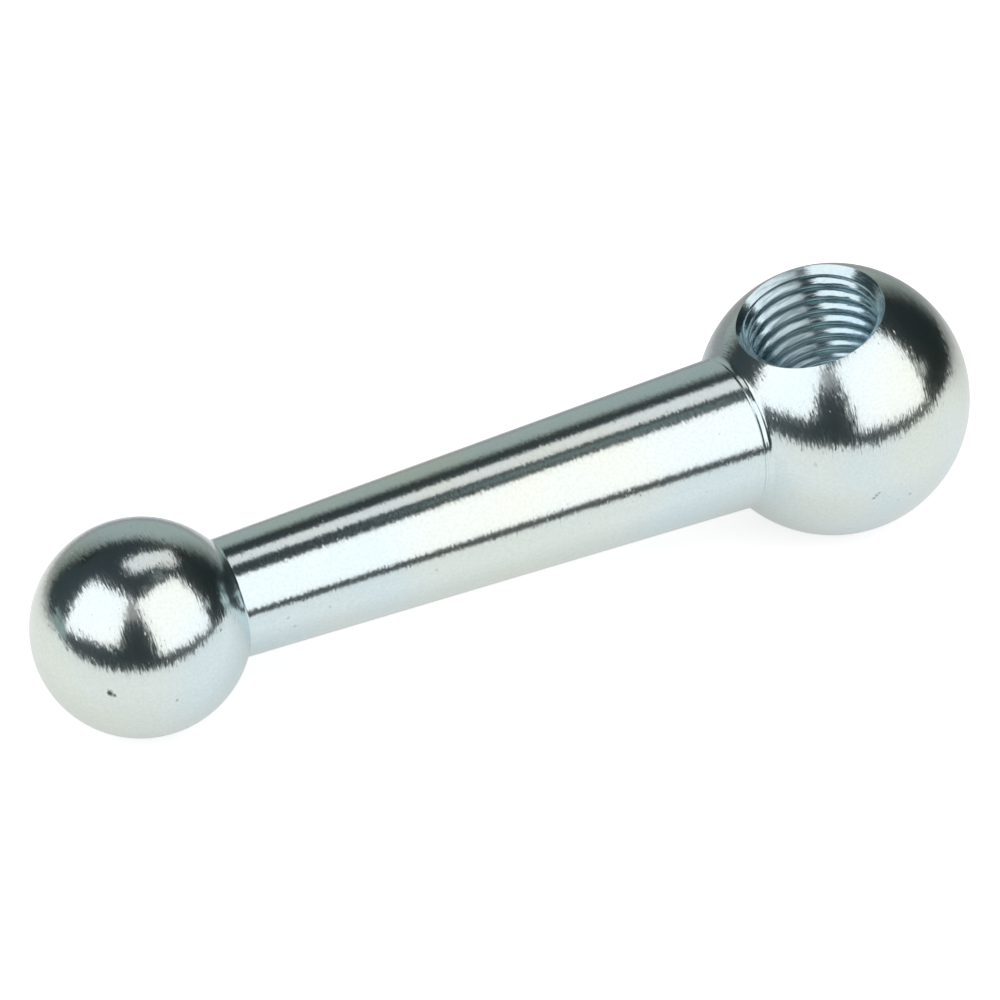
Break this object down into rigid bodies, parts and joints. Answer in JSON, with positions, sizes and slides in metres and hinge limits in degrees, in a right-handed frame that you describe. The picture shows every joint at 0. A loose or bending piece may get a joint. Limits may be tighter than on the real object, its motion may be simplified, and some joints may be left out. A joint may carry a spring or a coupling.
{
  "type": "clamping lever",
  "caption": "Turned one-piece steel clamping lever: a large ball hub with a threaded hole, an inclined tapered arm and a small ball end for the hand.",
  "frame": {"origin": "centre of the large ball, on the axis of the threaded hole", "axes": "+Z along the threaded hole, out of the mouth on the side that the arm leans to; the arm lies in the XZ plane, towards -X, and rises 15 degrees towards +Z"},
  "size_m": [0.112, 0.032, 0.0479],
  "materials": {
    "zinc_plated_steel": "turned steel with bright bluish zinc plating, fine turning marks, light scratches and small specks"
  },
  "bodies": {
    "root": {"lever": "zinc_plated_steel"}
  },
  "joints": []
}
